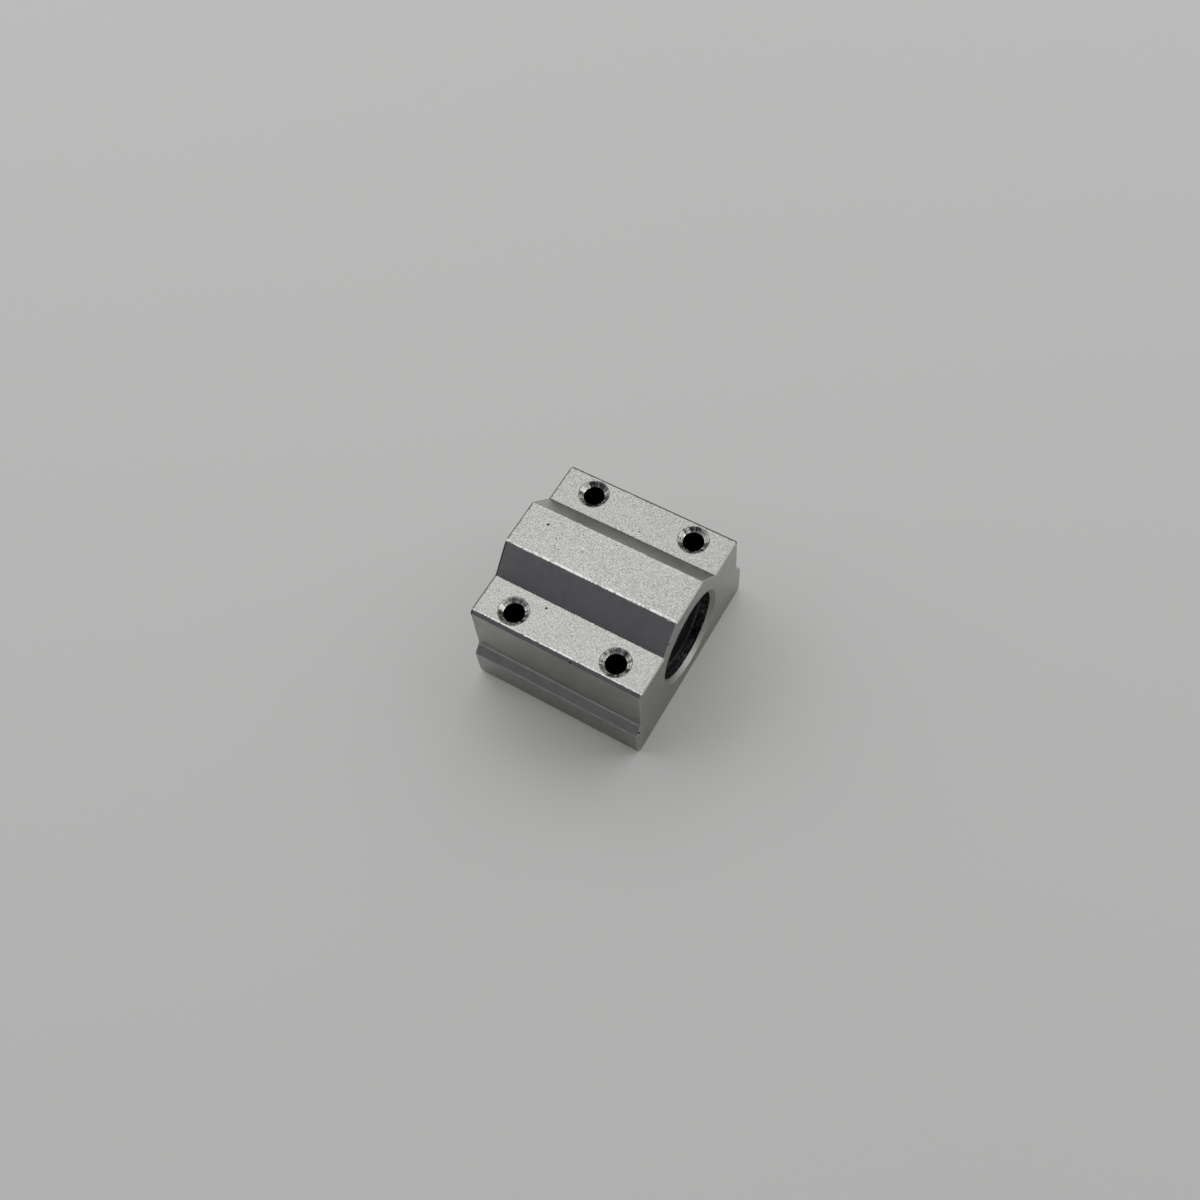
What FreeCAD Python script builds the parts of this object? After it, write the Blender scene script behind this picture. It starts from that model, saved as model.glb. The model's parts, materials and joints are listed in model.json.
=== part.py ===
import FreeCAD, Part
import math
import os

# Linear bearing block for a round shaft: an aluminium housing with a recirculating ball
# bushing held in its bore by two retaining rings. Millimetres, +Z up, origin at the centre
# of the mounting face. The shaft runs along X; the front end of the block is at +X.

# Housing: a solid extrusion, cut to length, bored, drilled and tapped
housing_length = 30.0
base_width = 34.0
base_edge_height = 6.4
wall_foot_half_width = 15.55
wall_foot_height = 7.9
shoulder_half_width = 15.3
shoulder_height = 18.0
shoulder_edge_chamfer = 0.55
hump_foot_half_width = 8.0
hump_top_half_width = 4.0
housing_height = 22.5
bore_height = 11.0
base_corner_radius = 0.9
flange_corner_radius = 0.6
wall_foot_radius = 0.8
chamfer_corner_radius = 0.25
hump_foot_radius = 0.25
hump_edge_radius = 0.3
end_edge_break = 0.2
bore_rim_chamfer = 0.7

# Four fixing holes: drilled through, tapped from the shoulders, burrs broken at the base
hole_pitch_along = 18.0
hole_pitch_across = 24.0
hole_radius = 1.7
hole_mouth_radius = 2.38
hole_mouth_depth = 0.53
hole_base_chamfer = 0.25

# Ball bushing: hardened sleeve, moulded ball retainer, rubber seals, end rings
shaft_radius = 4.0
sleeve_radius = 7.5
sleeve_length = 24.0
sleeve_end_chamfer = 0.3
snap_groove_spacing = 17.5
snap_groove_width = 1.1
snap_groove_radius = 7.15
retainer_bore_radius = 4.2
retainer_end_wall = 0.72
retainer_edge_chamfer = 0.25
seal_thickness = 1.5
seal_lip_thickness = 0.45
seal_lip_land = 0.2
seal_body_bore_radius = 4.9
end_ring_thickness = 0.6
end_ring_bore_radius = 5.3
end_ring_chamfer = 0.12

# Balls and their circuits: each circuit is one oblong loop of equally spaced balls
ball_radius = 0.75
ball_gap = 0.02
circuits = 4
first_circuit_angle = 45.0
balls_in_row = 8
balls_in_turn = 3
return_row_lift = 0.75

# Retaining rings: stamped spring steel, sprung into grooves in the housing bore
ring_thickness = 1.0
ring_groove_width = 1.1
ring_groove_depth = 0.35
ring_back_width = 2.0
ring_tip_width = 1.4
ring_gap_angle = 34.0
ring_lug_radius = 1.45
ring_lug_reach = 3.4
ring_eye_radius = 0.8

# Clearances
bore_clearance = 0.01
track_clearance = 0.03
race_clearance = 0.02
retainer_clearance = 0.12
axial_clearance = 0.05
press_clearance = 0.01

# Worked out from the sizes above
ball_diameter = 2 * ball_radius
half_turn_step = math.pi / (2 * balls_in_turn)
turn_radius = (ball_diameter + ball_gap) / (2 * math.sin(half_turn_step))
ball_pitch = math.pi * turn_radius / balls_in_turn
row_half_length = balls_in_row * ball_pitch / 2
loaded_row_radius = shaft_radius + ball_radius
return_row_radius = loaded_row_radius + return_row_lift
track_radius = ball_radius + track_clearance
raceway_radius = loaded_row_radius + ball_radius + race_clearance
relief_radius = return_row_radius + track_radius
retainer_radius = raceway_radius - retainer_clearance
retainer_half_length = row_half_length + turn_radius + track_radius + retainer_end_wall
seal_inner_face = retainer_half_length + axial_clearance
seal_outer_face = seal_inner_face + seal_thickness
sleeve_half_length = sleeve_length / 2
housing_bore_radius = sleeve_radius + bore_clearance
ring_seat_radius = housing_bore_radius + ring_groove_depth
ring_radius = ring_seat_radius - press_clearance
ring_inner_face = sleeve_half_length + axial_clearance
overcut = 1.0

X_AXIS = FreeCAD.Vector(1, 0, 0)
BORE_CENTRE = FreeCAD.Vector(0, 0, bore_height)


def corner_arc(before, corner, after, radius):
    """The two tangent points and the middle point of an arc that rounds one corner."""
    to_before = (before - corner).normalize()
    to_after = (after - corner).normalize()
    half_angle = to_before.getAngle(to_after) / 2
    setback = radius / math.tan(half_angle)
    bisector = (to_before + to_after).normalize()
    centre = corner + bisector * (radius / math.sin(half_angle))
    start = corner + to_before * setback
    end = corner + to_after * setback
    middle = centre - bisector * radius
    return start, middle, end


def rounded_outline(corners):
    """A closed outline through corner points, each one (point, radius of its rounding)."""
    count = len(corners)
    arcs = []
    for index in range(count):
        point, radius = corners[index]
        before = corners[index - 1][0]
        after = corners[(index + 1) % count][0]
        arcs.append(corner_arc(before, point, after, radius))
    edges = []
    for index in range(count):
        start, middle, end = arcs[index]
        next_start = arcs[(index + 1) % count][0]
        edges.append(Part.Arc(start, middle, end).toShape())
        edges.append(Part.LineSegment(end, next_start).toShape())
    return Part.Wire(edges)


def turned(profile):
    """A solid of revolution about the shaft axis, from a closed profile of (x, radius)."""
    points = [FreeCAD.Vector(x, 0, radius) for x, radius in profile]
    outline = Part.makePolygon(points + points[:1])
    return Part.Face(outline).revolve(FreeCAD.Vector(0, 0, 0), X_AXIS, 360)


def mirrored_to_rear(shape):
    """The same piece at the other end of the block."""
    return shape.mirror(FreeCAD.Vector(0, 0, 0), X_AXIS)


def in_bore(shape):
    """Moves a piece modelled about the X axis into the housing bore."""
    placed = shape.copy()
    placed.translate(BORE_CENTRE)
    return placed


def bar_along_x(radius, half_length, centre):
    """A round bar along X, as long each side of the middle, about a centre in the YZ plane."""
    start = centre - X_AXIS * half_length
    return Part.makeCylinder(radius, 2 * half_length, start, X_AXIS)


# Housing

def housing_outline():
    """The extruded section: base flange, tapering walls, flat shoulders and a central hump."""
    right_side = [
        (base_width / 2, 0, base_corner_radius),
        (base_width / 2, base_edge_height, flange_corner_radius),
        (wall_foot_half_width, wall_foot_height, wall_foot_radius),
        (shoulder_half_width, shoulder_height - shoulder_edge_chamfer, chamfer_corner_radius),
        (shoulder_half_width - shoulder_edge_chamfer, shoulder_height, chamfer_corner_radius),
        (hump_foot_half_width, shoulder_height, hump_foot_radius),
        (hump_top_half_width, housing_height, hump_edge_radius),
    ]
    left_side = [(-y, z, radius) for y, z, radius in reversed(right_side)]
    face_x = -housing_length / 2
    corners = [(FreeCAD.Vector(face_x, y, z), radius) for y, z, radius in right_side + left_side]
    return rounded_outline(corners)


def break_end_edges(block):
    """Takes the sharp edge off the two sawn ends of the extrusion."""
    end_edges = []
    for edge in block.Edges:
        box = edge.BoundBox
        at_an_end = abs(abs(box.Center.x) - housing_length / 2) < 1e-6
        if at_an_end and box.XLength < 1e-6:
            end_edges.append(edge)
    return block.makeChamfer(end_edge_break, end_edges)


def bore_cutter():
    """The through bore with its rim chamfers and the grooves of the two retaining rings."""
    end = housing_length / 2
    rim = housing_bore_radius + bore_rim_chamfer
    groove_inner = ring_inner_face
    groove_outer = ring_inner_face + ring_groove_width
    front = [
        (groove_inner, housing_bore_radius),
        (groove_inner, ring_seat_radius),
        (groove_outer, ring_seat_radius),
        (groove_outer, housing_bore_radius),
        (end - bore_rim_chamfer, housing_bore_radius),
        (end, rim),
        (end + overcut, rim),
        (end + overcut, 0),
    ]
    rear = [(-x, radius) for x, radius in reversed(front)]
    return in_bore(turned(rear + front))


def hole_cutter(x, y):
    """One fixing hole: drill, countersunk mouth at the shoulder, broken edge at the base."""
    mouth_flare = (hole_mouth_radius - hole_radius) / hole_mouth_depth
    up = FreeCAD.Vector(0, 0, 1)
    drill = Part.makeCylinder(hole_radius, shoulder_height + 2 * overcut, FreeCAD.Vector(x, y, -overcut), up)
    mouth_bottom = FreeCAD.Vector(x, y, shoulder_height - hole_mouth_depth)
    mouth_top_radius = hole_mouth_radius + overcut * mouth_flare
    mouth = Part.makeCone(hole_radius, mouth_top_radius, hole_mouth_depth + overcut, mouth_bottom, up)
    base_radius = hole_radius + hole_base_chamfer + overcut
    base_bottom = FreeCAD.Vector(x, y, -overcut)
    base = Part.makeCone(base_radius, hole_radius, hole_base_chamfer + overcut, base_bottom, up)
    return drill.fuse([mouth, base])


def make_housing():
    blank = Part.Face(housing_outline()).extrude(X_AXIS * housing_length)
    blank = break_end_edges(blank)
    cutters = [bore_cutter()]
    for x in (-hole_pitch_along / 2, hole_pitch_along / 2):
        for y in (-hole_pitch_across / 2, hole_pitch_across / 2):
            cutters.append(hole_cutter(x, y))
    return blank.cut(cutters)


# Ball circuits

def row_centres(circuit):
    """The centres of a circuit's loaded row and return row in the YZ plane, about the axis."""
    half_sine = (4 * turn_radius ** 2 - return_row_lift ** 2) / (4 * loaded_row_radius * return_row_radius)
    spread = 2 * math.asin(math.sqrt(half_sine))
    loaded_angle = math.radians(first_circuit_angle + circuit * 360 / circuits)
    return_angle = loaded_angle + spread
    loaded = FreeCAD.Vector(0, math.cos(loaded_angle), math.sin(loaded_angle)) * loaded_row_radius
    unloaded = FreeCAD.Vector(0, math.cos(return_angle), math.sin(return_angle)) * return_row_radius
    return loaded, unloaded


def turn_frame(circuit, end):
    """The centre of a turn, the direction across the circuit and the axis the balls turn about."""
    loaded, unloaded = row_centres(circuit)
    centre = (loaded + unloaded) * 0.5 + X_AXIS * (end * row_half_length)
    across = (unloaded - loaded).normalize()
    return centre, across, X_AXIS.cross(across)


def circuit_track(circuit):
    """The oblong channel that one circuit of balls runs in."""
    loaded, unloaded = row_centres(circuit)
    pieces = [bar_along_x(track_radius, row_half_length, centre) for centre in (loaded, unloaded)]
    for end in (1, -1):
        centre, across, axis = turn_frame(circuit, end)
        start = centre - across * turn_radius
        section = Part.Face(Part.Wire(Part.Circle(start, X_AXIS, track_radius).toShape()))
        pieces.append(section.revolve(centre, axis * end, 180))
    return pieces


def row_balls(row_centre):
    """Balls of one straight row, half a pitch clear of each of its ends."""
    balls = []
    for index in range(balls_in_row):
        x = (index + 0.5) * ball_pitch - row_half_length
        balls.append(Part.makeSphere(ball_radius, row_centre + X_AXIS * x))
    return in_bore(Part.Compound(balls))


def turn_balls(circuit, end):
    """Balls of one half-turn between a circuit's two rows."""
    centre, across, axis = turn_frame(circuit, end)
    balls = []
    for index in range(balls_in_turn):
        angle = (2 * index + 1) * half_turn_step
        direction = across * -math.cos(angle) + X_AXIS * (end * math.sin(angle))
        balls.append(Part.makeSphere(ball_radius, centre + direction * turn_radius))
    return in_bore(Part.Compound(balls))


# Ball bushing

def make_sleeve():
    """Ground sleeve: raceway bore between end reliefs, return grooves, two outer grooves."""
    relief_start = row_half_length + relief_radius - raceway_radius
    groove_outer = snap_groove_spacing / 2 + snap_groove_width / 2
    groove_inner = groove_outer - snap_groove_width
    outside = [
        (groove_inner, sleeve_radius),
        (groove_inner, snap_groove_radius),
        (groove_outer, snap_groove_radius),
        (groove_outer, sleeve_radius),
        (sleeve_half_length - sleeve_end_chamfer, sleeve_radius),
        (sleeve_half_length, sleeve_radius - sleeve_end_chamfer),
    ]
    inside = [
        (sleeve_half_length, relief_radius),
        (relief_start, relief_radius),
        (row_half_length, raceway_radius),
    ]
    front = outside + inside
    rear = [(-x, radius) for x, radius in reversed(front)]
    sleeve = turned(front + rear)
    grooves = []
    for circuit in range(circuits):
        unloaded = row_centres(circuit)[1]
        grooves.append(bar_along_x(track_radius, relief_start, unloaded))
    return in_bore(sleeve.cut(grooves))


def make_retainer():
    """Moulded retainer: a thin tube with one oblong ball track for each circuit."""
    bevel = retainer_edge_chamfer
    front = [
        (retainer_half_length - bevel, retainer_radius),
        (retainer_half_length, retainer_radius - bevel),
        (retainer_half_length, retainer_bore_radius + bevel),
        (retainer_half_length - bevel, retainer_bore_radius),
    ]
    rear = [(-x, radius) for x, radius in reversed(front)]
    tube = turned(front + rear)
    tracks = []
    for circuit in range(circuits):
        tracks.extend(circuit_track(circuit))
    return in_bore(tube.cut(tracks))


def make_front_seal():
    """Rubber wiper seal: a thick rim in the sleeve and a thin lip that reaches the shaft."""
    rim_radius = relief_radius - press_clearance
    lip_root = seal_outer_face - seal_lip_thickness
    profile = [
        (seal_inner_face, rim_radius),
        (seal_outer_face, rim_radius),
        (seal_outer_face, shaft_radius),
        (seal_outer_face - seal_lip_land, shaft_radius),
        (lip_root, seal_body_bore_radius - seal_lip_thickness),
        (lip_root - seal_lip_land, seal_body_bore_radius),
        (seal_inner_face, seal_body_bore_radius),
    ]
    return in_bore(turned(profile))


def make_front_end_ring():
    """Thin steel ring pressed into the sleeve's mouth, which holds the seal and the retainer."""
    inner = seal_outer_face
    outer = inner + end_ring_thickness
    outer_radius = relief_radius - press_clearance
    profile = [
        (inner, outer_radius),
        (outer - end_ring_chamfer, outer_radius),
        (outer, outer_radius - end_ring_chamfer),
        (outer, end_ring_bore_radius + end_ring_chamfer),
        (outer - end_ring_chamfer, end_ring_bore_radius),
        (inner, end_ring_bore_radius),
    ]
    return in_bore(turned(profile))


# Retaining rings

def make_front_retaining_ring():
    """Open ring, widest at its back, with a lug and an eye at each side of the gap on top."""
    shift = (ring_back_width - ring_tip_width) / 2
    inside_radius = ring_radius - (ring_back_width + ring_tip_width) / 2
    inner_face = FreeCAD.Vector(ring_inner_face, 0, 0)
    through = ring_thickness + 2 * overcut
    disc = Part.makeCylinder(ring_radius, ring_thickness, inner_face, X_AXIS)
    inside_start = inner_face + FreeCAD.Vector(-overcut, 0, shift)
    inside = Part.makeCylinder(inside_radius, through, inside_start, X_AXIS)
    ring = disc.cut(inside)

    lug_centre_radius = ring_radius - ring_lug_reach + ring_lug_radius
    lug_angle = math.radians(ring_gap_angle / 2) + math.asin(ring_lug_radius / lug_centre_radius)
    rim = Part.makeCylinder(ring_radius, ring_thickness, inner_face, X_AXIS)
    eyes = []
    for side in (-1, 1):
        across = FreeCAD.Vector(0, side * math.sin(lug_angle), math.cos(lug_angle))
        lug_start = inner_face + across * lug_centre_radius
        lug = Part.makeCylinder(ring_lug_radius, ring_thickness, lug_start, X_AXIS)
        ring = ring.fuse(lug.common(rim))
        eye_start = lug_start - X_AXIS * overcut
        eyes.append(Part.makeCylinder(ring_eye_radius, through, eye_start, X_AXIS))

    reach = 2 * ring_radius
    gap_half_width = reach * math.tan(math.radians(ring_gap_angle / 2))
    gap_x = ring_inner_face - overcut
    gap_points = [
        FreeCAD.Vector(gap_x, 0, 0),
        FreeCAD.Vector(gap_x, gap_half_width, reach),
        FreeCAD.Vector(gap_x, -gap_half_width, reach),
    ]
    gap = Part.Face(Part.makePolygon(gap_points + gap_points[:1])).extrude(X_AXIS * through)
    ring = ring.cut([gap] + eyes).removeSplitter()
    return in_bore(ring)


def make_parts():
    parts = {"housing": make_housing()}
    parts["bearing_sleeve"] = make_sleeve()
    parts["ball_retainer"] = make_retainer()
    ends = {
        "seal": make_front_seal(),
        "end_ring": make_front_end_ring(),
        "retaining_ring": make_front_retaining_ring(),
    }
    for name, piece in ends.items():
        parts["front_" + name] = piece
        parts["rear_" + name] = mirrored_to_rear(piece)
    for circuit in range(circuits):
        number = str(circuit + 1)
        loaded, unloaded = row_centres(circuit)
        parts["loaded_balls_" + number] = row_balls(loaded)
        parts["return_balls_" + number] = row_balls(unloaded)
        parts["front_turn_balls_" + number] = turn_balls(circuit, 1)
        parts["rear_turn_balls_" + number] = turn_balls(circuit, -1)
    return parts


os.makedirs("parts", exist_ok=True)
for part_name, part_shape in make_parts().items():
    part_shape.exportStep("parts/" + part_name + ".step")
    print(part_name, len(part_shape.Solids), part_shape.isValid(), round(part_shape.Volume, 3))
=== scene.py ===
import json
import math

import bpy
from mathutils import Matrix, Vector


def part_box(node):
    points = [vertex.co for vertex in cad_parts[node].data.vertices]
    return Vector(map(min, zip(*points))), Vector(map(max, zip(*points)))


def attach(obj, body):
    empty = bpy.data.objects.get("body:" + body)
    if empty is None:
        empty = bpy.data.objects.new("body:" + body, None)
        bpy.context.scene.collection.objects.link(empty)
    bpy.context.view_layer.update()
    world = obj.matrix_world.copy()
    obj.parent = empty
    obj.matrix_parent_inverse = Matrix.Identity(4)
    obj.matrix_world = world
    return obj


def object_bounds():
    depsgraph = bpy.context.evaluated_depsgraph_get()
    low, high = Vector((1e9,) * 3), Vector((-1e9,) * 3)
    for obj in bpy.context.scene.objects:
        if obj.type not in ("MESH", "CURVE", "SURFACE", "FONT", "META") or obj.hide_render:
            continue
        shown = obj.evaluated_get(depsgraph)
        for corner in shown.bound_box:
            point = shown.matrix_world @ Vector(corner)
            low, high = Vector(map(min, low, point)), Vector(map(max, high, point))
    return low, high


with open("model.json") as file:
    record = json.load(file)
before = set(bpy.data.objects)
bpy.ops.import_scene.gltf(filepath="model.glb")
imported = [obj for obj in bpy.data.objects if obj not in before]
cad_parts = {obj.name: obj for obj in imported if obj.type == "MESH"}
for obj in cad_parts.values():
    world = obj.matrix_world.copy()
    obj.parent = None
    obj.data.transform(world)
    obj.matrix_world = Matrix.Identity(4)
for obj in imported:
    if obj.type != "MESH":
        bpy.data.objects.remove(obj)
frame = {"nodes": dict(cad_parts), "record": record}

# Linear bearing block with its ball bushing, on a pale studio floor. Metres, apart from the
# marks and edges that are listed in millimetres. Noise scales are in waves per metre.

cad_low, cad_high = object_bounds()
record = frame["record"]
mounts = {mount["name"]: mount for mount in record["mounts"]}
MM = 0.001

# Places and sizes from the frame
bore_axis_height = mounts["shaft_bore"]["pos_m"][2]
hole_radius = mounts["fixing_holes"]["dims"]["hole_r_mm"] * MM
hole_offset_along = mounts["fixing_holes"]["dims"]["spacing_x_mm"] * MM / 2
hole_offset_across = mounts["fixing_holes"]["dims"]["spacing_y_mm"] * MM / 2
sleeve_low, sleeve_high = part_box("bearing_sleeve")
sleeve_radius = (sleeve_high[1] - sleeve_low[1]) / 2
block_end = cad_high[0]

# Fixing holes: countersunk and tapped M4 from the shoulders
shoulder_height = 18.0 * MM
hole_mouth_radius = 2.38 * MM
hole_mouth_depth = 0.53 * MM
mouth_bottom = shoulder_height - hole_mouth_depth
mouth_step_radius = 2.1 * MM
mouth_outline_width = 0.15 * MM
mouth_softness = 0.05 * MM
thread_pitch = 0.7 * MM
thread_depth = 8.0 * MM
thread_crest_radius = 1.62 * MM
thread_root_width = 0.5 * MM
thread_crest_width = 0.1 * MM
thread_sink = 0.03 * MM
thread_steps_per_turn = 36
weld_distance = 0.001 * MM
sharp_angle = math.radians(30)

# Blasted skin of the block: tones, grain and roughness, with painted glints in the bright specks on
# the level faces and painted shade on the upright and sloping faces
block_tones = ((0.39, 0.39, 0.38, 1), (0.43, 0.43, 0.418, 1))
speck_tone = (0.31, 0.31, 0.305, 1)
pepper_tone = (0.19, 0.19, 0.185, 1)
# Bright specks on the level faces: partly grain, partly painted glints
glint_speck_tone = (0.75, 0.75, 0.73, 1)
# Painted shade: multiplies the colour of the upright and sloping faces to darken them
painted_wall_shade = (0.74, 0.745, 0.735, 1)
skin_roughness = (0.42, 0.31)
cloud_scale = 420.0
grain_size = 0.17 * MM
grain_height = 0.05 * MM
pit_spacing = 1.3 * MM
pit_share = 0.10
speckle_size = 0.22 * MM
speck_levels = (0.34, 0.54)
faint_speck_share = (0.65, 1.0)
pepper_levels = (0.38, 0.46)
glint_speck_levels = (0.55, 0.63)

# Edges of the block. The long edges are worn and painted bright as highlights, mostly on the near
# side; dark lines are painted along the far outer edge, as shade, and along the rear end's top
# edges.
# Long edges are given across and up, in mm, with the width of their worn highlight.
long_edges = [
    ((0, 3.86, 22.5), 0.22),
    ((0, 14.72, 18.0), 0.12),
]
outer_edge_middle = (0, 15.03, 17.73)
outer_edge_width = 0.34
line_softness = 0.06
outer_edge_softness = 0.08
rear_edge_width = (0.28 * MM, 0.40 * MM)
rear_edge_foot = (shoulder_height - 1.6 * MM, shoulder_height - 0.6 * MM)
far_side_highlight_share = 0.15
near_side_darkness = 0.12
edge_darkness = 0.9
# Bright tone of the worn edges and burrs: partly wear, partly painted highlight
worn_highlight_tone = (1.0, 1.0, 0.98, 1)
worn_roughness = 0.15
# Dark tone of the edge lines: painted shade on the far outer edge, and a dark line on the rear
# end's top edges
dark_edge_tone = (0.05, 0.052, 0.056, 1)
patch_scale = 1500.0
worn_highlight_levels = (0.44, 0.56)
ragged_levels = (0.24, 0.36)

# Bare metal in the holes and the bore, with painted shade inside the tapped holes and the bore and
# painted glints on the countersink facets
outline_tone = (0.05, 0.05, 0.05, 1)
outline_darkness = 0.9
# Tones of the countersink facets: the light and dark tones paint glints and dark stripes on real
# chatter facets
facet_glint_tones = ((0.22, 0.216, 0.21, 1), (0.92, 0.90, 0.86, 1))
facet_levels = (0.44, 0.54)
facet_depth = 0.5
chatter_scale = 2.1
chatter_wander = 90.0
step_tone = (0.08, 0.08, 0.08, 1)
step_darkness = 0.6
step_width = (0.03 * MM, 0.09 * MM)
# Painted shade on the tapped walls and threads below the countersinks
hole_shade_tone = (0.20, 0.20, 0.21, 1)
# Painted shade in the bore: nearly black, with lighter specks
bore_shade_tones = ((0.02, 0.022, 0.026, 1), (0.24, 0.25, 0.265, 1))
bore_levels = (0.46, 0.62)
bore_feed = 0.09 * MM
bore_zone_margin = 0.03 * MM
cut_roughness = (0.22, 0.36)

# Handling marks on the block: centre and half sizes of each one, in mm
dark_pits = [
    ((-4.9, -9.2, 18.0), (0.26, 0.26, 0.25)),
    ((-10.6, 1.55, 22.5), (0.27, 0.27, 0.25)),
    ((-6.9, -1.5, 22.5), (0.14, 0.14, 0.2)),
    ((0.5, 3.3, 22.5), (0.14, 0.12, 0.2)),
    ((-3.5, -0.2, 22.5), (0.16, 0.10, 0.2)),
    ((-4.9, 2.5, 22.5), (0.12, 0.14, 0.2)),
    ((-8.2, 0.0, 22.5), (0.12, 0.10, 0.2)),
    ((-7.7, 0.3, 22.5), (0.10, 0.12, 0.2)),
    ((-8.0, -0.3, 22.5), (0.10, 0.08, 0.2)),
    ((0.9, 9.35, 18.0), (0.15, 0.15, 0.2)),
    ((-0.1, 9.0, 18.0), (0.10, 0.10, 0.2)),
    ((2.8, 9.4, 18.0), (0.11, 0.10, 0.2)),
    ((11.5, 9.2, 18.0), (0.11, 0.11, 0.2)),
    ((2.9, -15.1, 17.6), (0.28, 0.3, 0.18)),
    ((-15.0, 12.5, 17.9), (0.3, 0.3, 0.2)),
    ((-15.0, -1.5, 22.4), (0.3, 0.35, 0.2)),
    ((15.0, -6.4, 19.8), (0.25, 0.3, 0.3)),
    ((15.0, -16.4, 7.0), (0.35, 0.25, 0.3)),
    ((15.0, -16.7, 5.7), (0.3, 0.3, 0.25)),
]
dull_scuffs = [
    ((-0.2, -9.6, 18.0), (0.22, 0.42, 0.3)),
    ((0.8, -9.85, 18.0), (0.22, 0.22, 0.3)),
    ((0.55, -10.8, 18.0), (0.28, 0.32, 0.3)),
    ((1.0, -11.35, 18.0), (0.36, 0.22, 0.3)),
]
# Burrs painted bright: partly real burrs, partly painted highlights along the near shoulder edge
# and the hump
burr_highlights = [
    ((-0.7, -14.62, 18.0), (0.34, 0.2, 0.3)),
    ((0.0, -14.62, 18.0), (0.24, 0.18, 0.3)),
    ((0.9, -14.6, 18.0), (0.40, 0.2, 0.3)),
    ((2.0, -14.62, 18.0), (0.34, 0.18, 0.3)),
    ((2.8, -14.62, 18.0), (0.24, 0.18, 0.3)),
    ((-3.7, 0.35, 22.5), (0.18, 0.18, 0.25)),
    ((13.6, -4.0, 22.35), (0.7, 0.22, 0.25)),
]
warm_stains = [
    ((-3.0, 12.0, 18.0), (2.2, 1.2, 0.4)),
    ((8.0, 9.6, 18.0), (1.2, 0.8, 0.4)),
]
mark_wander = 0.16
mark_wander_scale = 4200.0
pit_tone = (0.03, 0.03, 0.03, 1)
pit_depth = 1.5
scuff_tone = (0.10, 0.10, 0.10, 1)
scuff_streak_scale = 4000.0
scuff_streak_levels = (0.40, 0.55)
scuff_streak_share = (1.0, 0.25)
stain_tone = (0.46, 0.40, 0.38, 1)
stain_strength = 0.35

# Finish of the bushing's pieces
ground_feed = 0.05 * MM
ground_depth = 0.006 * MM
# Bright tone on the bushing's edges: partly wear, partly painted highlight
worn_edge_highlight_tone = (0.85, 0.85, 0.86, 1)
bright_edge_width = 0.10 * MM
bright_edge_break_up = 0.6 * MM
ball_tones = ((0.74, 0.75, 0.77, 1), (0.55, 0.54, 0.50, 1))

# Camera
camera_aim = Vector((-0.73, -1.03, 11.0)) * MM
camera_distance = 200.4 * MM
camera_azimuth = math.radians(37.56)
camera_elevation = math.radians(61.43)
camera_roll = math.radians(-7.97)
camera_lens = 37.96
sensor_width = 36.0
camera_clip_start = 1.0 * MM

# Lights: soft boxes and cards that only metal mirrors, windows that only matt things see
metal_light_color = (1.0, 1.0, 0.89)
key_direction = (-0.29, 0.30, 0.91)
key_distance = 0.7
key_size = (0.36, 0.36)
key_power = 1.53
card_distance = 0.5
card_size = (0.35, 0.2)
card_power = 0.13
side_card_direction = (0.88, 0.38, 0.29)
left_card_direction = (-0.95, -0.12, 0.29)
small_card_direction = (0.78, 0.38, 0.50)
small_card_size = (0.12, 0.12)
small_card_power = 0.3
window_color = (1.0, 1.0, 0.98)
window_distance = 0.8
window_size = (1.4, 0.8)
left_window_direction = (-0.80, 0.04, 0.58)
left_window_power = 8.4
right_window_direction = (0.20, 0.78, 0.58)
right_window_power = 9.2

# Surroundings. A spread says how far a view must point a way for that part to begin and end.
backdrop_color = (0.40, 0.41, 0.40, 1)
surround_color = (0.20, 0.205, 0.20, 1)
mirrored_color = (0.175, 0.172, 0.20, 1)
pale_wall_color = (0.42, 0.422, 0.412, 1)
pale_wall_spread = (0.25, 0.45)
pale_front_spread = (0.2, 0.65)
dark_corner_direction = (-0.29, -0.92, 0.27)
dark_corner_spread = (0.45, 0.75)
dark_side_direction = (0.45, -0.58, 0.68)
dark_side_spread = (0.88, 0.97)
dark_side_strength = 0.7
floor_size = 3.0
floor_tones = ((0.50, 0.51, 0.50, 1), (0.53, 0.54, 0.53, 1))
floor_roughness = 0.6
floor_cloud_scale = 3.0


# Node helpers

def add_node(tree, kind, **settings):
    """A node of one kind, with its own settings."""
    node = tree.nodes.new(kind)
    for name, value in settings.items():
        setattr(node, name, value)
    return node


def join(tree, source, target):
    """Links one socket to another."""
    tree.links.new(source, target)


def feed(tree, socket, value):
    """Gives a socket a link or a plain value."""
    if isinstance(value, bpy.types.NodeSocket):
        join(tree, value, socket)
    else:
        socket.default_value = value


def calculate(tree, operation, first, second=0.0, third=0.0):
    """One Math node."""
    node = add_node(tree, "ShaderNodeMath", operation=operation)
    for socket, value in zip(node.inputs, (first, second, third)):
        feed(tree, socket, value)
    return node.outputs[0]


def both(tree, first, second):
    """A mask where both of two masks are, or a mask at part of its strength."""
    return calculate(tree, "MULTIPLY", first, second)


def either(tree, first, second):
    """A mask where either of two masks is."""
    return calculate(tree, "MAXIMUM", first, second)


def vector_math(tree, operation, *values):
    """One Vector Math node. Returns a number where the operation gives one, else a vector."""
    node = add_node(tree, "ShaderNodeVectorMath", operation=operation)
    for socket, value in zip(node.inputs, values):
        feed(tree, socket, value)
    gives_number = operation in ("DOT_PRODUCT", "DISTANCE", "LENGTH")
    return node.outputs["Value" if gives_number else "Vector"]


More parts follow.
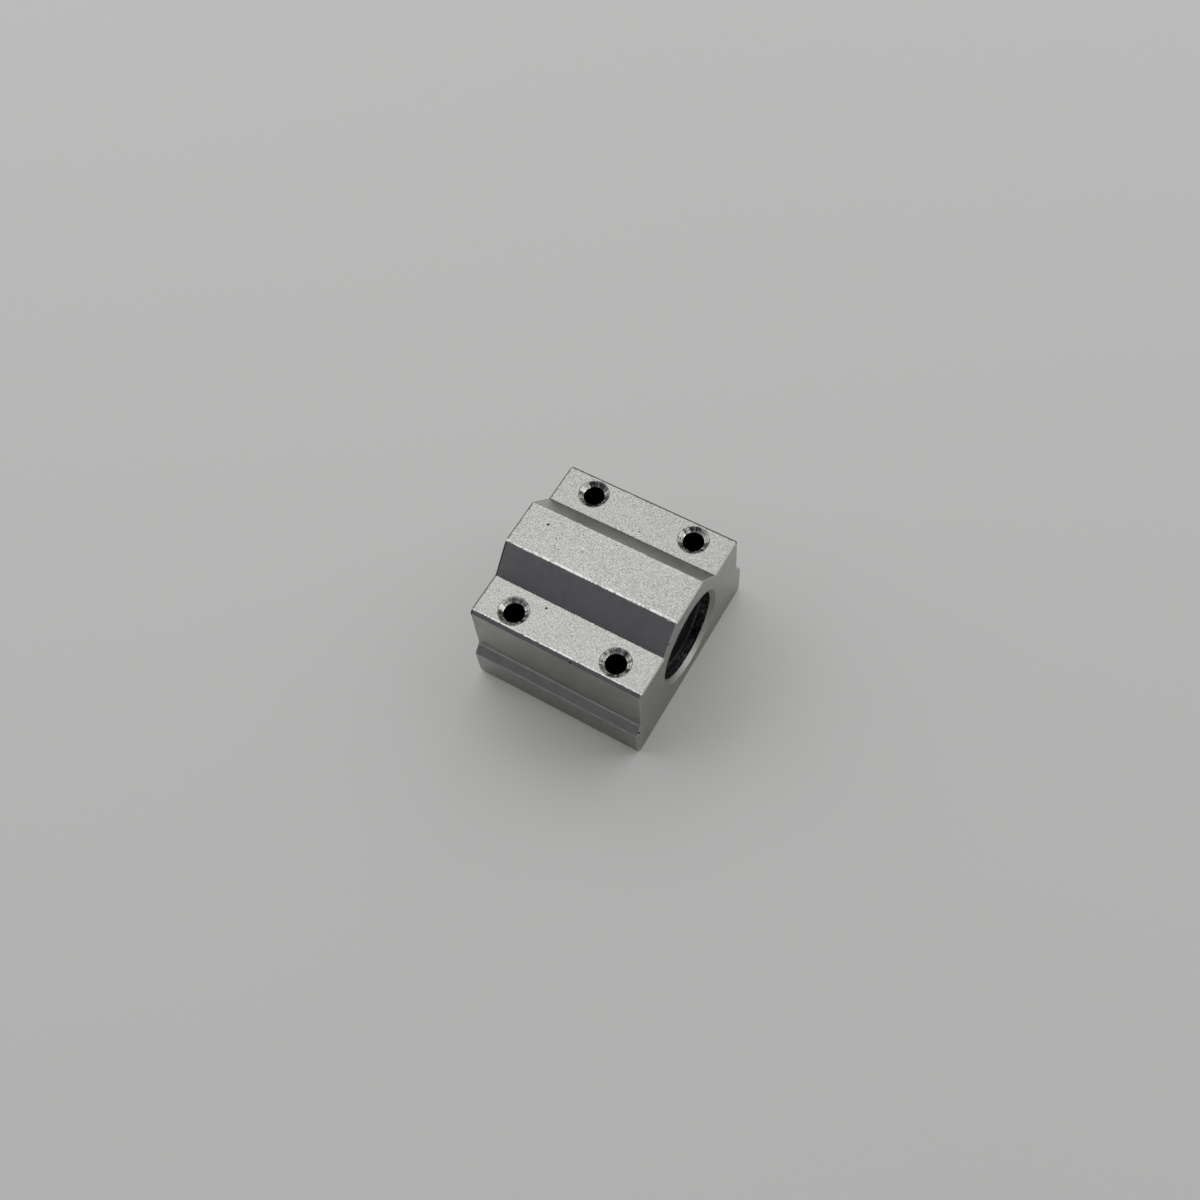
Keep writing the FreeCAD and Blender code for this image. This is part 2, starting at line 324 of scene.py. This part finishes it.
def split(tree, vector):
    """The three numbers of a vector."""
    node = add_node(tree, "ShaderNodeSeparateXYZ")
    join(tree, vector, node.inputs[0])
    return tuple(node.outputs)


def combine(tree, x=0.0, y=0.0, z=0.0):
    """A vector from three numbers."""
    node = add_node(tree, "ShaderNodeCombineXYZ")
    for socket, value in zip(node.inputs, (x, y, z)):
        feed(tree, socket, value)
    return node.outputs[0]


def fade(tree, value, low, high, to_low=0.0, to_high=1.0):
    """Maps a value smoothly from one range to another."""
    node = add_node(tree, "ShaderNodeMapRange", interpolation_type="SMOOTHSTEP")
    feed(tree, node.inputs["Value"], value)
    feed(tree, node.inputs["From Min"], low)
    feed(tree, node.inputs["From Max"], high)
    feed(tree, node.inputs["To Min"], to_low)
    feed(tree, node.inputs["To Max"], to_high)
    return node.outputs["Result"]


def fade_out(tree, value, low, high):
    """1 below a range of values and 0 above it."""
    return fade(tree, value, low, high, 1.0, 0.0)


def blend_values(tree, factor, first, second):
    """A mix of two values."""
    node = add_node(tree, "ShaderNodeMix", data_type="FLOAT")
    feed(tree, node.inputs[0], factor)
    feed(tree, node.inputs[2], first)
    feed(tree, node.inputs[3], second)
    return node.outputs[0]


def blend_colors(tree, factor, first, second, mode="MIX"):
    """A mix of two colours."""
    node = add_node(tree, "ShaderNodeMix", data_type="RGBA", blend_type=mode)
    feed(tree, node.inputs[0], factor)
    feed(tree, node.inputs[6], first)
    feed(tree, node.inputs[7], second)
    return node.outputs[2]


def object_position(tree):
    """The place on the piece, in the block's own frame."""
    return add_node(tree, "ShaderNodeTexCoord").outputs["Object"]


def noise(tree, position, scale, detail=2.0, roughness=0.5):
    """Uneven values between 0 and 1."""
    node = add_node(tree, "ShaderNodeTexNoise")
    feed(tree, node.inputs["Vector"], position)
    feed(tree, node.inputs["Scale"], scale)
    feed(tree, node.inputs["Detail"], detail)
    feed(tree, node.inputs["Roughness"], roughness)
    return node.outputs["Fac"]


def new_group(name, inputs, outputs):
    """An empty shader node group with its two end nodes. An input with no default is a vector."""
    group = bpy.data.node_groups.new(name, "ShaderNodeTree")
    for socket_name, default in inputs.items():
        kind = "NodeSocketVector" if default is None else "NodeSocketFloat"
        socket = group.interface.new_socket(socket_name, in_out="INPUT", socket_type=kind)
        if default is not None:
            socket.default_value = default
    for socket_name in outputs:
        group.interface.new_socket(socket_name, in_out="OUTPUT", socket_type="NodeSocketFloat")
    start = group.nodes.new("NodeGroupInput")
    end = group.nodes.new("NodeGroupOutput")
    return group, start, end


def place_group(tree, group, **values):
    """Puts a node group in a material. Underscores in the names stand for spaces."""
    node = add_node(tree, "ShaderNodeGroup", node_tree=group)
    for name, value in values.items():
        feed(tree, node.inputs[name.replace("_", " ")], value)
    return node


# Shared surface effects

def build_blasted_grain():
    """Fine matt grain of blasted metal, with a few deeper pits."""
    group, start, end = new_group(
        "blasted grain",
        {"Position": None, "Grain Size": 0.12 * MM, "Pit Spacing": 1.2 * MM, "Pit Share": 0.1},
        ["Height", "Tone", "Pits"])
    position = start.outputs["Position"]
    fine_scale = calculate(group, "DIVIDE", 1.0, start.outputs["Grain Size"])
    coarse_scale = calculate(group, "MULTIPLY", fine_scale, 0.35)
    fine = noise(group, position, fine_scale, 3.0, 0.6)
    coarse = noise(group, position, coarse_scale, 2.0, 0.5)
    grain = blend_values(group, 0.4, fine, coarse)
    cells = add_node(group, "ShaderNodeTexVoronoi")
    join(group, position, cells.inputs["Vector"])
    pit_scale = calculate(group, "DIVIDE", 1.0, start.outputs["Pit Spacing"])
    join(group, pit_scale, cells.inputs["Scale"])
    chosen = calculate(group, "LESS_THAN", cells.outputs["Color"], start.outputs["Pit Share"])
    pits = both(group, chosen, fade_out(group, cells.outputs["Distance"], 0.03, 0.11))
    join(group, calculate(group, "SUBTRACT", grain, pits), end.inputs["Height"])
    join(group, grain, end.inputs["Tone"])
    join(group, pits, end.inputs["Pits"])
    return group


def build_edge_mask():
    """Finds edges for wear and painted highlights: 1 on a sharp outer edge, broken up along its
    length.
    """
    group, start, end = new_group(
        "edge mask", {"Position": None, "Edge Width": 0.2 * MM, "Break Up": 0.8 * MM}, ["Mask"])
    bevel = add_node(group, "ShaderNodeBevel", samples=6)
    join(group, start.outputs["Edge Width"], bevel.inputs["Radius"])
    geometry = add_node(group, "ShaderNodeNewGeometry")
    likeness = vector_math(
        group, "DOT_PRODUCT", bevel.outputs["Normal"], geometry.outputs["Normal"])
    bent = fade_out(group, likeness, 0.86, 0.99)
    break_scale = calculate(group, "DIVIDE", 1.0, start.outputs["Break Up"])
    patches = noise(group, start.outputs["Position"], break_scale, 3.0, 0.65)
    join(group, both(group, bent, fade(group, patches, 0.36, 0.56)), end.inputs["Mask"])
    return group


def build_round_zone():
    """1 inside a cylinder about an axis, given the place across that axis."""
    group, start, end = new_group(
        "round zone",
        {"Across": None, "Centre": None, "Radius": 1.0 * MM, "Softness": 0.02 * MM},
        ["Inside", "Distance"])
    distance = vector_math(group, "DISTANCE", start.outputs["Across"], start.outputs["Centre"])
    radius = start.outputs["Radius"]
    outer_radius = calculate(group, "ADD", radius, start.outputs["Softness"])
    join(group, fade_out(group, distance, radius, outer_radius), end.inputs["Inside"])
    join(group, distance, end.inputs["Distance"])
    return group


def build_tool_marks():
    """Fine uneven rings left by a turning tool, spaced along one coordinate."""
    group, start, end = new_group(
        "tool marks", {"Along": 0.0, "Position": None, "Feed": 0.08 * MM}, ["Height", "Tone"])
    turns = calculate(group, "DIVIDE", start.outputs["Along"], start.outputs["Feed"])
    wave = calculate(group, "SINE", calculate(group, "MULTIPLY", turns, 2 * math.pi))
    lines = add_node(group, "ShaderNodeTexNoise", noise_dimensions="1D")
    join(group, turns, lines.inputs["W"])
    lines.inputs["Scale"].default_value = 0.45
    lines.inputs["Detail"].default_value = 3.0
    smear = noise(group, start.outputs["Position"], 900.0, 2.0, 0.5)
    uneven = blend_values(group, 0.55, lines.outputs["Fac"], smear)
    join(group, calculate(group, "MULTIPLY_ADD", wave, 0.12, uneven), end.inputs["Height"])
    join(group, uneven, end.inputs["Tone"])
    return group


BLASTED_GRAIN = build_blasted_grain()
EDGE_MASK = build_edge_mask()
ROUND_ZONE = build_round_zone()
TOOL_MARKS = build_tool_marks()


# Materials

def new_material(name, metallic, roughness=0.5):
    """A material with one Principled BSDF and its constant values."""
    material = bpy.data.materials.new(name)
    material.use_nodes = True
    tree = material.node_tree
    shader = tree.nodes["Principled BSDF"]
    shader.inputs["Metallic"].default_value = metallic
    shader.inputs["Roughness"].default_value = roughness
    return material, tree, shader


def bump(tree, shader, height, distance, strength=1.0):
    """Feeds a height to the shader's normal."""
    node = add_node(tree, "ShaderNodeBump")
    node.inputs["Strength"].default_value = strength
    node.inputs["Distance"].default_value = distance
    join(tree, height, node.inputs["Height"])
    join(tree, node.outputs["Normal"], shader.inputs["Normal"])


def metres(values_mm):
    """A place or size in metres, from one in millimetres."""
    return [value * MM for value in values_mm]


def near_line(tree, folded, centre_mm, radius_mm, softness_mm=line_softness):
    """1 near a line along the block, at the same place on its two sides."""
    zone = place_group(
        tree, ROUND_ZONE, Across=folded, Centre=metres(centre_mm),
        Radius=radius_mm * MM, Softness=softness_mm * MM)
    return zone.outputs["Inside"]


def marked_places(tree, position, places):
    """1 inside any of a list of small uneven marks, each one a centre and half sizes in mm."""
    warp = add_node(tree, "ShaderNodeTexNoise")
    join(tree, position, warp.inputs["Vector"])
    warp.inputs["Scale"].default_value = mark_wander_scale
    wander = metres([mark_wander] * 3)
    shifted = vector_math(tree, "MULTIPLY_ADD", warp.outputs["Color"], wander, position)
    marked = 0.0
    for centre, half_size in places:
        middle = metres([value + mark_wander / 2 for value in centre])
        offset = vector_math(tree, "SUBTRACT", shifted, middle)
        scaled = vector_math(tree, "DIVIDE", offset, metres(half_size))
        inside = fade_out(tree, vector_math(tree, "LENGTH", scaled), 0.55, 1.0)
        marked = either(tree, inside, marked)
    return marked


def face_kinds(tree):
    """How upright a face is, 1 on the level faces on top, and 1 off the two end faces."""
    geometry = add_node(tree, "ShaderNodeNewGeometry")
    normal = split(tree, geometry.outputs["True Normal"])
    upright = fade_out(tree, calculate(tree, "ABSOLUTE", normal[2]), 0.25, 0.85)
    level = fade(tree, normal[2], 0.85, 0.95)
    off_ends = fade_out(tree, calculate(tree, "ABSOLUTE", normal[0]), 0.90, 0.97)
    return upright, level, off_ends


def edge_highlights_and_dark_lines(tree, position, place, off_ends):
    """Long edges worn and painted bright as highlights, mostly on the near side, and dark lines
    painted mostly along the far outer edge, as shade, and along the rear end's top edges.
    """
    along, across, up = place
    folded = combine(tree, y=calculate(tree, "ABSOLUTE", across), z=up)
    patches = noise(tree, position, patch_scale, 3.0, 0.7)
    lines = 0.0
    for centre_mm, radius_mm in long_edges:
        lines = either(tree, near_line(tree, folded, centre_mm, radius_mm), lines)
    worn_highlight = both(tree, lines, fade(tree, patches, *worn_highlight_levels))
    worn_highlight = both(tree, worn_highlight, fade(tree, across, -MM, MM, 1.0, far_side_highlight_share))

    outer = near_line(tree, folded, outer_edge_middle, outer_edge_width, outer_edge_softness)
    outer = both(tree, outer, fade(tree, across, -MM, MM, near_side_darkness, 1.0))
    near_rear = fade_out(tree, along, *[width - block_end for width in rear_edge_width])
    on_top = fade(tree, up, *rear_edge_foot)
    rear = both(tree, both(tree, off_ends, on_top), near_rear)
    dark = both(tree, either(tree, outer, rear), fade(tree, patches, *ragged_levels))
    return worn_highlight, dark


def skin_color(tree, position, grain, level):
    """Cloudy blasted metal with dark specks, and on the level faces dark pepper specks and bright
    specks that are partly grain and partly painted glints.
    """
    clouds = noise(tree, position, cloud_scale, 3.0, 0.6)
    cloudy = blend_colors(tree, fade(tree, clouds, 0.3, 0.7), *block_tones)
    specks = fade(tree, grain.outputs["Tone"], *speck_levels)
    faint_specks = fade(tree, grain.outputs["Tone"], *speck_levels, *faint_speck_share)
    speck_mask = blend_values(tree, level, faint_specks, specks)
    speckled = blend_colors(tree, speck_mask, speck_tone, cloudy)
    spots = noise(tree, position, 1 / speckle_size, 2.0, 0.6)
    pepper = both(tree, fade_out(tree, spots, *pepper_levels), level)
    glint_specks = both(tree, fade(tree, spots, *glint_speck_levels), level)
    return blend_colors(tree, glint_specks, blend_colors(tree, pepper, speckled, pepper_tone), glint_speck_tone)


def handled_color(tree, position, skin, dents):
    """The skin with its stains, streaky scuffs and dents."""
    stains = both(tree, marked_places(tree, position, warm_stains), stain_strength)
    stained = blend_colors(tree, stains, skin, stain_tone)
    streaks = noise(tree, position, scuff_streak_scale, 3.0, 0.7)
    streaky = fade(tree, streaks, *scuff_streak_levels, *scuff_streak_share)
    scuffs = both(tree, marked_places(tree, position, dull_scuffs), streaky)
    scuffed = blend_colors(tree, scuffs, stained, scuff_tone)
    return blend_colors(tree, dents, scuffed, pit_tone)


def fold_to_holes(tree, place):
    """The place across the axis of the nearest fixing hole, measured from that axis."""
    offsets = []
    for coordinate, offset in zip(place, (hole_offset_along, hole_offset_across)):
        centre = calculate(tree, "MULTIPLY", calculate(tree, "SIGN", coordinate), offset)
        offsets.append(calculate(tree, "SUBTRACT", coordinate, centre))
    return combine(tree, x=offsets[0], y=offsets[1])


def chatter(tree, from_hole, position):
    """Segments left round a hole's mouth by a countersink that chattered."""
    outward = vector_math(tree, "NORMALIZE", from_hole)
    wander = (chatter_wander, chatter_wander, 0)
    around = vector_math(tree, "MULTIPLY_ADD", position, wander, outward)
    return fade(tree, noise(tree, around, chatter_scale, 3.0, 0.75), *facet_levels)


def cut_color(tree, grain, hole, facets, in_mouth):
    """Bare metal of the bore and the tapped walls, darkened with painted shade, and the
    countersinks with their dark step and facets whose tones paint glints.
    """
    from_step = calculate(tree, "SUBTRACT", hole.outputs["Distance"], mouth_step_radius)
    step = fade_out(tree, calculate(tree, "ABSOLUTE", from_step), *step_width)
    cone = blend_colors(tree, facets, *facet_glint_tones)
    stepped = blend_colors(tree, both(tree, step, step_darkness), cone, step_tone)
    mouth = blend_colors(tree, in_mouth, hole_shade_tone, stepped)
    shaded_bore_metal = blend_colors(tree, fade(tree, grain.outputs["Tone"], *bore_levels), *bore_shade_tones)
    return blend_colors(tree, hole.outputs["Inside"], shaded_bore_metal, mouth)


def block_aluminium():
    """Blasted extrusion with handling marks, machined bore and countersunk tapped holes, with
    painted highlights, glints and shade.
    """
    material, tree, shader = new_material("block aluminium", metallic=1.0)
    position = object_position(tree)
    place = split(tree, position)
    along, across, up = place
    upright, level, off_ends = face_kinds(tree)

    from_hole = fold_to_holes(tree, place)
    bore = place_group(
        tree, ROUND_ZONE, Across=combine(tree, y=across, z=up),
        Centre=(0, 0, bore_axis_height), Radius=sleeve_radius + bore_zone_margin)
    hole = place_group(
        tree, ROUND_ZONE, Across=from_hole, Centre=(0, 0, 0), Radius=hole_mouth_radius)
    outline = place_group(
        tree, ROUND_ZONE, Across=from_hole, Centre=(0, 0, 0),
        Radius=hole_mouth_radius + mouth_outline_width, Softness=mouth_softness)
    machined = either(tree, bore.outputs["Inside"], hole.outputs["Inside"])
    in_mouth = fade(tree, up, mouth_bottom - mouth_softness, mouth_bottom)

    grain = place_group(
        tree, BLASTED_GRAIN, Position=position, Grain_Size=grain_size,
        Pit_Spacing=pit_spacing, Pit_Share=pit_share)
    bore_marks = place_group(
        tree, TOOL_MARKS, Along=along, Position=position, Feed=bore_feed)
    facets = chatter(tree, from_hole, position)
    worn_highlight, dark_edges = edge_highlights_and_dark_lines(tree, position, place, off_ends)
    bright = either(tree, worn_highlight, marked_places(tree, position, burr_highlights))
    pits = marked_places(tree, position, dark_pits)
    dents = either(tree, pits, grain.outputs["Pits"])

    skin = skin_color(tree, position, grain, level)
    handled = handled_color(tree, position, skin, dents)
    # Dark edge lines: painted shade mostly along the far outer edge, and dark lines on the rear
    # end's top edges
    shaded = blend_colors(tree, both(tree, dark_edges, edge_darkness), handled, dark_edge_tone)
    # Painted shade on the upright and sloping faces
    walls = blend_colors(tree, upright, shaded, painted_wall_shade, "MULTIPLY")
    # Worn edges and burrs painted bright: partly wear, partly painted highlights
    edged = blend_colors(tree, bright, walls, worn_highlight_tone)
    outlined = both(tree, outline.outputs["Inside"], outline_darkness)
    rimmed = blend_colors(tree, outlined, edged, outline_tone)
    bare = cut_color(tree, grain, hole, facets, in_mouth)
    join(tree, blend_colors(tree, machined, rimmed, bare), shader.inputs["Base Color"])

    matt = fade(tree, grain.outputs["Tone"], 0.3, 0.7, *skin_roughness)
    matt_edged = blend_values(tree, bright, matt, worn_roughness)
    smooth = fade(tree, bore_marks.outputs["Tone"], 0.3, 0.7, *cut_roughness)
    join(tree, blend_values(tree, machined, matt_edged, smooth), shader.inputs["Roughness"])

    sunk_pits = calculate(tree, "MULTIPLY", pits, pit_depth)
    relief = calculate(tree, "SUBTRACT", grain.outputs["Height"], sunk_pits)
    faceted = calculate(tree, "MULTIPLY", both(tree, facets, in_mouth), facet_depth)
    cut = blend_values(tree, hole.outputs["Inside"], bore_marks.outputs["Height"], faceted)
    bump(tree, shader, blend_values(tree, machined, relief, cut), distance=grain_height)
    return material


def ground_steel(name, light, dark, roughness):
    """Turned or ground steel with fine rings across the shaft's direction."""
    material, tree, shader = new_material(name, metallic=1.0)
    position = object_position(tree)
    marks = place_group(
        tree, TOOL_MARKS, Along=split(tree, position)[0], Position=position, Feed=ground_feed)
    edge = place_group(
        tree, EDGE_MASK, Position=position, Edge_Width=bright_edge_width,
        Break_Up=bright_edge_break_up)
    film = noise(tree, position, 700.0, 3.0, 0.6)
    toned = blend_colors(tree, marks.outputs["Tone"], dark, light)
    oily = blend_colors(tree, fade(tree, film, 0.45, 0.7, 0.0, 0.5), toned, dark)
    # Edges painted bright: partly wear, partly painted highlight
    edged = blend_colors(tree, edge.outputs["Mask"], oily, worn_edge_highlight_tone)
    join(tree, edged, shader.inputs["Base Color"])
    join(tree, fade(tree, film, 0.3, 0.7, *roughness), shader.inputs["Roughness"])
    bump(tree, shader, marks.outputs["Height"], distance=ground_depth, strength=0.5)
    return material


def moulded(name, light, dark, roughness, skin_size, skin_height):
    """Moulded resin or rubber: a fine skin texture, slightly greasy in places."""
    material, tree, shader = new_material(name, metallic=0.0)
    position = object_position(tree)
    skin = place_group(
        tree, BLASTED_GRAIN, Position=position, Grain_Size=skin_size,
        Pit_Spacing=0.9 * MM, Pit_Share=0.05)
    grease = noise(tree, position, 650.0, 3.0, 0.6)
    join(tree, blend_colors(tree, skin.outputs["Tone"], dark, light), shader.inputs["Base Color"])
    join(tree, fade(tree, grease, 0.35, 0.65, *roughness), shader.inputs["Roughness"])
    bump(tree, shader, skin.outputs["Height"], distance=skin_height, strength=0.5)
    return material


def polished_balls():
    """Lapped bearing balls with a thin film of grease."""
    material, tree, shader = new_material("polished balls", metallic=1.0)
    film = noise(tree, object_position(tree), 1500.0, 3.0, 0.6)
    color = blend_colors(tree, fade(tree, film, 0.45, 0.75), *ball_tones)
    join(tree, color, shader.inputs["Base Color"])
    join(tree, fade(tree, film, 0.4, 0.75, 0.07, 0.22), shader.inputs["Roughness"])
    return material


materials = {
    "block_aluminium": block_aluminium(),
    "bearing_steel": ground_steel(
        "bearing steel", light=(0.60, 0.61, 0.63, 1), dark=(0.36, 0.37, 0.39, 1),
        roughness=(0.18, 0.32)),
    "ball_steel": polished_balls(),
    "retainer_resin": moulded(
        "retainer resin", light=(0.055, 0.055, 0.06, 1), dark=(0.02, 0.02, 0.022, 1),
        roughness=(0.32, 0.5), skin_size=0.10 * MM, skin_height=0.01 * MM),
    "seal_rubber": moulded(
        "seal rubber", light=(0.03, 0.03, 0.032, 1), dark=(0.012, 0.012, 0.013, 1),
        roughness=(0.45, 0.7), skin_size=0.08 * MM, skin_height=0.015 * MM),
    "end_ring_steel": ground_steel(
        "end ring steel", light=(0.66, 0.66, 0.67, 1), dark=(0.40, 0.40, 0.42, 1),
        roughness=(0.22, 0.38)),
    "spring_steel": ground_steel(
        "spring steel", light=(0.26, 0.26, 0.27, 1), dark=(0.12, 0.12, 0.13, 1),
        roughness=(0.3, 0.5)),
}
for entry in record["subparts"]:
    part_object = frame["nodes"][entry["node"]]
    for material_slot in part_object.material_slots:
        material_slot.material = materials[entry["material_slot"]]


# Threads

def thread_section(name):
    """A flat four-sided face: one crest of the thread, cut through at the hole's wall."""
    root = hole_radius + thread_sink
    corners = [
        (root, thread_root_width / 2),
        (root, -thread_root_width / 2),
        (thread_crest_radius, -thread_crest_width / 2),
        (thread_crest_radius, thread_crest_width / 2),
    ]
    bpy.ops.object.select_all(action="DESELECT")
    bpy.ops.mesh.primitive_plane_add(size=1.0, location=(0, 0, 0))
    section = bpy.context.object
    section.name = name
    around = [section.data.vertices[index] for index in section.data.polygons[0].vertices]
    for vertex, (radius, height) in zip(around, corners):
        vertex.co = (radius, 0, height)
    return section


def build_thread(name, x, y):
    """The crests of one M4 thread, as a closed ridge that winds down the hole's wall."""
    ridge = thread_section(name)
    turns = thread_depth / thread_pitch
    winding = ridge.modifiers.new("winding", "SCREW")
    winding.axis = "Z"
    winding.angle = -2 * math.pi * turns
    winding.screw_offset = -thread_depth
    winding.steps = round(thread_steps_per_turn * turns)
    winding.render_steps = winding.steps
    winding.use_merge_vertices = False
    bpy.ops.object.modifier_apply(modifier=winding.name)

    bpy.ops.object.mode_set(mode="EDIT")
    bpy.ops.mesh.select_all(action="SELECT")
    bpy.ops.mesh.remove_doubles(threshold=weld_distance)
    bpy.ops.mesh.select_all(action="DESELECT")
    bpy.ops.mesh.select_non_manifold()
    bpy.ops.mesh.edge_face_add()
    bpy.ops.mesh.select_all(action="SELECT")
    bpy.ops.transform.translate(value=(x, y, mouth_bottom - thread_root_width))
    bpy.ops.mesh.normals_make_consistent(inside=False)
    bpy.ops.object.mode_set(mode="OBJECT")
    bpy.ops.object.shade_smooth_by_angle(angle=sharp_angle)
    ridge.data.materials.clear()
    ridge.data.materials.append(materials["block_aluminium"])
    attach(ridge, "block")


for number, (x_side, y_side) in enumerate([(1, -1), (1, 1), (-1, 1), (-1, -1)], start=1):
    build_thread(f"hole_thread_{number}", x_side * hole_offset_along, y_side * hole_offset_across)


# Studio

def build_floor():
    """A wide pale floor under the block."""
    bpy.ops.object.select_all(action="DESELECT")
    bpy.ops.mesh.primitive_plane_add(size=floor_size, location=(0, 0, cad_low[2]))
    floor = bpy.context.object
    floor.name = "floor"
    material, tree, shader = new_material("pale floor", metallic=0.0, roughness=floor_roughness)
    clouds = noise(tree, object_position(tree), floor_cloud_scale)
    join(tree, blend_colors(tree, clouds, *floor_tones), shader.inputs["Base Color"])
    floor.data.materials.append(material)


def place_light(name, direction, distance, size, power, color, in_metal):
    """A soft box that shines at the part from one direction, on metal or on matt things."""
    data = bpy.data.lights.new(name, "AREA")
    data.shape = "RECTANGLE"
    data.size, data.size_y = size
    data.energy = power
    data.color = color
    light = bpy.data.objects.new(name, data)
    bpy.context.scene.collection.objects.link(light)
    towards = Vector(direction).normalized()
    light.location = towards * distance
    light.rotation_euler = towards.to_track_quat("Z", "Y").to_euler()
    light.visible_glossy = in_metal
    light.visible_diffuse = not in_metal


def build_lights():
    """One key box and three cards for the metal, and two windows for the floor."""
    metal_lights = [
        ("key soft box", key_direction, key_distance, key_size, key_power),
        ("small card", small_card_direction, card_distance, small_card_size, small_card_power),
        ("left card", left_card_direction, card_distance, card_size, card_power),
        ("side card", side_card_direction, card_distance, card_size, card_power),
    ]
    windows = [
        ("left window", left_window_direction, window_distance, window_size, left_window_power),
        ("right window", right_window_direction, window_distance, window_size, right_window_power),
    ]
    for light in metal_lights:
        place_light(*light, metal_light_color, in_metal=True)
    for light in windows:
        place_light(*light, window_color, in_metal=False)


def pointing(tree, view, direction):
    """How far a view points along a fixed direction."""
    return vector_math(tree, "DOT_PRODUCT", view, Vector(direction).normalized())


def build_world():
    """A pale backdrop. Metal mirrors a room with pale walls, one dark corner and a dark side."""
    world = bpy.data.worlds.new("studio")
    bpy.context.scene.world = world
    world.use_nodes = True
    tree = world.node_tree
    path = add_node(tree, "ShaderNodeLightPath")
    view = add_node(tree, "ShaderNodeTexCoord").outputs["Generated"]
    low = fade_out(tree, pointing(tree, view, (0, 0, 1)), *pale_wall_spread)
    ahead = fade(tree, pointing(tree, view, (1, 0, 0)), *pale_front_spread)
    corner = fade_out(tree, pointing(tree, view, dark_corner_direction), *dark_corner_spread)
    pale = both(tree, either(tree, low, ahead), corner)
    room = blend_colors(tree, pale, mirrored_color, pale_wall_color)
    dark_side = fade(
        tree, pointing(tree, view, dark_side_direction), *dark_side_spread, 0.0, dark_side_strength)
    mirrored = blend_colors(tree, dark_side, room, (0, 0, 0, 1))
    unseen = blend_colors(tree, path.outputs["Is Glossy Ray"], surround_color, mirrored)
    color = blend_colors(tree, path.outputs["Is Camera Ray"], unseen, backdrop_color)
    join(tree, color, tree.nodes["Background"].inputs["Color"])


def build_camera():
    """Looks down on the block from its near side and front end, rolled a little."""
    direction = Vector((
        math.sin(camera_azimuth) * math.cos(camera_elevation),
        -math.cos(camera_azimuth) * math.cos(camera_elevation),
        math.sin(camera_elevation)))
    data = bpy.data.cameras.new("camera")
    data.lens = camera_lens
    data.sensor_width = sensor_width
    data.clip_start = camera_clip_start
    camera = bpy.data.objects.new("camera", data)
    bpy.context.scene.collection.objects.link(camera)
    upright = direction.to_track_quat("Z", "Y").to_matrix().to_4x4()
    roll = Matrix.Rotation(camera_roll, 4, "Z")
    place = Matrix.Translation(camera_aim + direction * camera_distance)
    camera.matrix_world = place @ upright @ roll
    bpy.context.scene.camera = camera


build_floor()
build_world()
build_lights()
build_camera()
